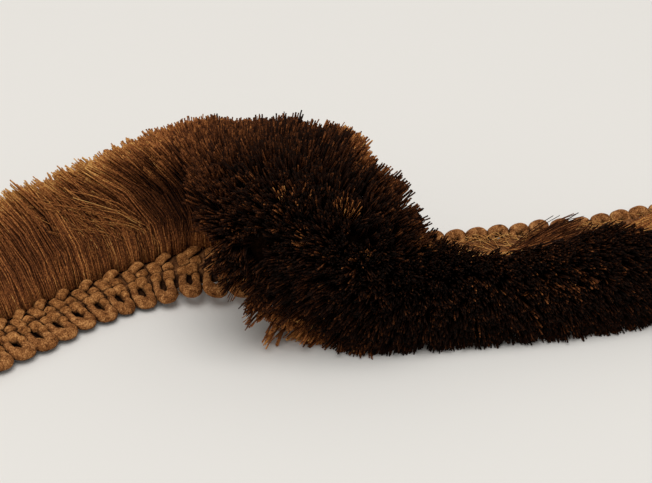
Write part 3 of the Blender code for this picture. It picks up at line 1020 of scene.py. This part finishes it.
def build_swept(material):
    """Yarns of the back face that lie along the band, and at last over its heading."""
    t = np.linspace(0, 1, SWEPT_LEVELS)[None, :]
    rise_to = np.sin(np.pi * np.minimum(LEAVE_PACE * t, 1.0) / 2)
    paths = []
    tones = []
    for low, high, count, rise_at, rise, tone in SWEPT:
        each = (count, 1)
        root = CHANCE.uniform(low, high, each)
        length = (BRUSH_LENGTH - SWEPT_SHORTER) * CHANCE.uniform(*SWEPT_LENGTHS, each)
        place = root + length * t ** SWEPT_BEND
        u = np.minimum(distance_at(place), LENGTH - KEEP_IN)
        stack = CHANCE.uniform(0, 1, each)
        leave = LEAVE * rise_to * (LEAVE_LEAST + LEAVE_MORE * stack)
        start = rise_at + CHANCE.uniform(*SWEPT_START, each)
        over = fade(place, start, RISE_OVER)
        over = over * (RISE_LEAST + RISE_MORE * CHANCE.random(each) ** RISE_POWER)
        w = SWEPT_W + leave - rise * over + CHANCE.normal(0, SWEPT_FANS, each) * t
        w = w + CHANCE.normal(0, SWEPT_WAVES, (count, SWEPT_LEVELS))
        lift = SWEPT_LIFT + LIFT_MORE * leave + LIFT_VARIES * CHANCE.random(each)
        above = OVER_LEAST + OVER_VARIES * CHANCE.random(each)
        above = above * np.minimum(over * OVER_PACE, 1)
        n = -np.maximum(lift * (1 - SWEPT_DROPS * over), above)
        paths.append(on_band(u.ravel(), w.ravel(), n.ravel()).reshape(count, SWEPT_LEVELS, 3))
        tones.append(np.full(each, tone))
    loose_yarns("swept_yarns", np.concatenate(paths), np.concatenate(tones), material)


def build_strays(material):
    """Lighter loose yarns over the combed front face."""
    u = distance_at(CHANCE.uniform(*STRAY_PLACES, STRAYS))
    v = CHANCE.uniform(*STRAY_ACROSS, STRAYS)
    sway = CHANCE.normal(0, STRAY_SWAY, (STRAYS, 3))
    length = BRUSH_LENGTH * CHANCE.uniform(*STRAY_LENGTHS, STRAYS)
    paths = grow(u, v, length, sway, STRAY_LEVELS, CHANCE.uniform(*STRAY_COMBING, (STRAYS, 1)))
    loose_yarns("stray_yarns", paths, STRAY_TONE, material)


def build_locks(material):
    """Tufts that stand out of the dense brush by their way, length or tone."""
    paths = []
    tones = []
    for place, across, sway, further, combing, tone in LOCKS:
        u = distance_at(place) + CHANCE.normal(0, LOCK_JITTER, YARNS_IN_LOCK)
        v = across + CHANCE.normal(0, LOCK_ACROSS, YARNS_IN_LOCK)
        lean = np.array(sway) + CHANCE.normal(0, LOCK_SWAY, (YARNS_IN_LOCK, 3))
        length = BRUSH_LENGTH + further + CHANCE.normal(0, LOCK_VARIES, YARNS_IN_LOCK)
        paths.append(grow(u, v, length, lean, LOCK_LEVELS, combing))
        tones.append(np.full((YARNS_IN_LOCK, 1), tone))
    loose_yarns("locks", np.concatenate(paths), np.concatenate(tones), material)


def build_back_hairs(material):
    """Fine loose fibres on the heading's back."""
    each = (BACK_HAIRS, 1)
    u = CHANCE.uniform(HAIR_START, LENGTH - HAIR_STOP, BACK_HAIRS)[:, None]
    w = CHANCE.uniform(*HAIR_W, BACK_HAIRS)[:, None]
    turn = CHANCE.normal(*HAIR_TURN, BACK_HAIRS)[:, None]
    long = CHANCE.uniform(*HAIR_LENGTHS, BACK_HAIRS)[:, None]
    t = np.linspace(-0.5, 0.5, HAIR_LEVELS)[None, :]
    bend = CHANCE.normal(0, HAIR_BEND, each) * (t**2 - HAIR_FLAT)
    along = u + long * (np.cos(turn) * t + np.sin(turn) * bend)
    across = w + long * (np.sin(turn) * t + np.cos(turn) * bend)
    along = np.clip(along, KEEP_IN, LENGTH - KEEP_IN)
    across = np.clip(across, *HAIR_LIMITS)
    height = HAIR_BACK - HAIR_DEPTH * CHANCE.random(each)
    height = height - HAIR_LIFT * np.maximum(CHANCE.normal(*HAIR_LIFTED, each), 0) * (1 - 4 * t**2)
    paths = on_band(along.ravel(), across.ravel(), height.ravel()).reshape(BACK_HAIRS, HAIR_LEVELS, 3)
    loose_yarns("back_hairs", paths, HAIR_TONE, material)


def build_brush(material):
    u, v = face_places(FACE_CLUMPS)
    u = np.clip(u, KEEP_IN, LENGTH - KEEP_IN)
    build_yarns("face_yarns", u, v, FACE_LEVELS, FACE_PIECES, material)
    u, v = clump_places(INNER_CLUMPS)
    u = np.clip(u + CHANCE.normal(0, INNER_JITTER, len(u)), KEEP_IN, LENGTH - KEEP_IN)
    build_yarns("inner_yarns", u, v, INNER_LEVELS, INNER_PIECES, material)
    build_yarns("end_yarns", *end_places(), END_LEVELS, 1, material)


def build_core_shade(material):
    """Dense inside of the brush, which the yarns hide: a near black body of painted shade between them."""
    u = np.linspace(CORE_INSET, LENGTH - CORE_INSET, CORE_RINGS)
    still = np.zeros((len(u), 3))
    full = np.full(len(u), BRUSH_LENGTH)
    sides = np.linspace(-CORE_ACROSS, CORE_ACROSS, CORE_WALLS)
    walls = [grow(u, np.full(len(u), side), full, still, CORE_LEVELS) for side in sides]
    ring = [wall[:, 0] for wall in walls]
    ring += [walls[-1][:, k] for k in range(1, len(CORE_LEVELS))]
    ring += [wall[:, -1] for wall in walls[-2:0:-1]]
    ring += [walls[0][:, k] for k in range(len(CORE_LEVELS) - 1, 0, -1)]
    add_piece("brush_core_shade", skin("brush_core_shade", np.stack(ring, 1)), material, ("brush",))


def skin(name, rings):
    """Closed body through rings of points in mm (rings, points, 3)."""
    count, sides, _ = rings.shape
    faces = []
    for i in range(count - 1):
        for j in range(sides):
            k = (j + 1) % sides
            faces.append((i * sides + j, i * sides + k, (i + 1) * sides + k, (i + 1) * sides + j))
    faces.append(tuple(range(sides))[::-1])
    faces.append(tuple(range((count - 1) * sides, count * sides)))
    return smooth_mesh(name, rings, faces)


def smooth_mesh(name, points, faces):
    """Mesh of the faces over the points in mm."""
    mesh = bpy.data.meshes.new(name)
    mesh.from_pydata((points.reshape(-1, 3) * MM).tolist(), [], faces)
    mesh.shade_smooth()
    return mesh


def run_along(name, outline, inset, rings):
    """Closed body of one outline of w and n along the trim, short of its ends by the inset."""
    u = np.linspace(inset, LENGTH - inset, rings)
    return skin(name, np.stack([on_band(u, np.full(rings, w), np.full(rings, n)) for w, n in outline], 1))


def band_outline():
    """Rounded flat section of the woven ground, in painted shade, thinner under the loops: w and n of its
    points.
    """
    face = [(w, HEADING_FACE) for w in np.linspace(*BAND_FACE_W, BAND_POINTS)]
    back = [(w, HEADING_BACK) for w in np.linspace(BAND_BACK_W, HEADING_OUTER - BAND_ROUND, BAND_POINTS)]
    outer = [(HEADING_OUTER, (HEADING_RIM + HEADING_BACK) / 2)]
    inner = [
        (BAND_STEP_W, HEADING_RIM),
        (HEADING_INNER + BAND_EDGE, HEADING_RIM),
        (HEADING_INNER, HEADING_RIM - BAND_ROUND),
    ]
    return (outer + face + inner + back)[::-1]


def build_band(material):
    mesh = run_along("heading_band", band_outline(), BAND_INSET, rings=360)
    band = add_piece("heading_band", mesh, material, ("heading",))


def build_strip(material):
    mesh = run_along("root_strip", STRIP_OUTLINE, END_GAP, rings=300)
    add_piece("root_strip", mesh, material)


def fat_cords(name, paths, wide, tall, material, replaced=()):
    """Joined fat cords along the paths (count, levels, 3) of u, w and n, with their half widths by level."""
    levels = paths.shape[1]
    ways = unit(np.gradient(paths[..., :2], axis=1))
    verts = []
    for angle in 2 * np.pi * np.arange(CORD_SIDES) / CORD_SIDES:
        aside = np.cos(angle) * wide
        point = paths.copy()
        point[..., 0] += -ways[..., 1] * aside
        point[..., 1] += ways[..., 0] * aside
        point[..., 2] += np.sin(angle) * tall
        verts.append(point)
    flat = np.stack(verts, 2).reshape(-1, 3)
    placed = on_band(flat[:, 0], flat[:, 1], flat[:, 2])
    placed[:, 2] = np.maximum(placed[:, 2], CORD_FLOOR)
    faces = []
    for start in range(0, len(placed), levels * CORD_SIDES):
        last = start + (levels - 1) * CORD_SIDES
        for low in range(start, last, CORD_SIDES):
            high = low + CORD_SIDES
            for j in range(CORD_SIDES):
                k = (j + 1) % CORD_SIDES
                faces.append((low + j, high + j, high + k, low + k))
        faces.append(tuple(range(start, start + CORD_SIDES)))
        faces.append(tuple(range(last, last + CORD_SIDES))[::-1])
    add_piece(name, smooth_mesh(name, placed, faces), material, replaced)


def rounded(levels, full):
    """Half widths (1, levels) along cords whose ends are drawn in."""
    t = np.linspace(0, 1, levels)[None]
    return full * np.sqrt(np.maximum(1 - (2 * t - 1) ** CORD_DRAWN_IN, CORD_END))


def through_points(points, levels):
    """Smooth path through a few control points."""
    points = np.array(points, float)
    at = path_length(points)
    return through_rows(at, points, np.linspace(0, at[-1], levels))


def build_loops(material):
    each = (len(LOOP_MIDDLES), 1)
    paths = np.repeat(through_points(LOOP_CORD, LOOP_LEVELS)[None], len(LOOP_MIDDLES), 0)
    place = look_up("place", LOOP_MIDDLES)
    right = fade(place, *LOOP_TURNED) * (1 - LEVEL_SHARE * fade(place, *LEVEL_AGAIN))
    out = fade(paths[..., 1], *LOOP_OUT)
    lobe = fade(paths[..., 1], *LOOP_LOBE)
    jitter = [CHANCE.normal(0, varies, each) for varies in LOOP_JITTER]
    paths[..., 0] += LOOP_MIDDLES[:, None] + jitter[0]
    paths[..., 1] += (jitter[1] - (TURNED_OUT - TURNED_OUT_LOBE * lobe) * right) * out
    paths[..., 2] += jitter[2] - TURNED_DOWN * right * out
    wide = rounded(LOOP_LEVELS, LOOP_WIDE) + (LOBE_WIDER - WIDER_LESS * right) * lobe
    tall = rounded(LOOP_LEVELS, LOOP_TALL) + TURNED_TALLER * right
    tall = tall + (LOBE_TALLER - TALLER_LESS * right) * lobe
    fat_cords("loop_cords", paths, wide, tall, material, ("loop_edge",))


def build_plait(material):
    """Short fat cords that cross the heading's face over each loop."""
    each = (len(LOOP_MIDDLES), 1)
    for name, points, wide, tall, levels in PLAIT:
        paths = np.repeat(through_points(points, levels)[None], len(LOOP_MIDDLES), 0)
        jitter = [CHANCE.normal(0, varies, each) for varies in PLAIT_JITTER]
        paths[..., 0] += LOOP_MIDDLES[:, None] + jitter[0]
        paths[..., 1] += jitter[1]
        paths[..., 2] += jitter[2]
        fat_cords(name, paths, rounded(levels, wide), rounded(levels, tall), material)


def build_stage():
    bpy.ops.mesh.primitive_plane_add(size=6.0, location=(0, 0, 0))
    floor = bpy.context.object
    floor.name = "table"
    material, _, _, shader = new_material("table_look", 0.9, 0.1)
    shader.inputs["Base Color"].default_value = (0.80, 0.777, 0.735, 1)
    floor.data.materials.append(material)


def build_light():
    world = bpy.data.worlds.new("studio")
    bpy.context.scene.world = world
    world.use_nodes = True
    background = world.node_tree.nodes["Background"]
    background.inputs["Color"].default_value = (1.0, 0.99, 0.975, 1)
    background.inputs["Strength"].default_value = 0.55
    light = bpy.data.lights.new("soft_box", "AREA")
    light.size = 1.2
    light.energy = 13.5
    lamp = add_object("soft_box", light)
    lamp.location = LAMP_PLACE
    lamp.rotation_euler = (-Vector(LAMP_PLACE)).to_track_quat("-Z", "Y").to_euler()


def build_camera():
    rise = math.radians(CAMERA_RISE)
    view = Vector((0.0, math.cos(rise), -math.sin(rise)))
    data = bpy.data.cameras.new("camera")
    data.lens = CAMERA_LENS
    data.sensor_width = 36.0
    data.clip_start = 0.01
    camera = add_object("camera", data)
    camera.location = Vector(LOOK_AT) * MM - view * CAMERA_AWAY * MM
    camera.rotation_euler = view.to_track_quat("-Z", "Y").to_euler()
    bpy.context.scene.camera = camera


def main():
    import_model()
    build_camera()
    build_light()
    build_stage()
    yarn = yarn_material()
    heading = cord_material("heading_look", HEADING_COLOURS)
    loops = cord_material("loop_look", LOOP_COLOURS)
    build_brush(yarn)
    build_core_shade(core_shade_material())
    build_swept(yarn)
    build_strays(yarn)
    build_locks(yarn)
    build_back_hairs(yarn)
    # The woven ground gets painted shade, as it shows only in gaps and in the loops' holes
    ground = cord_material("ground_shade_look", GROUND_SHADE_COLOURS)
    build_strip(ground)
    build_band(ground)
    build_plait(heading)
    build_loops(loops)
    bpy.context.scene.view_settings.view_transform = "Standard"


main()
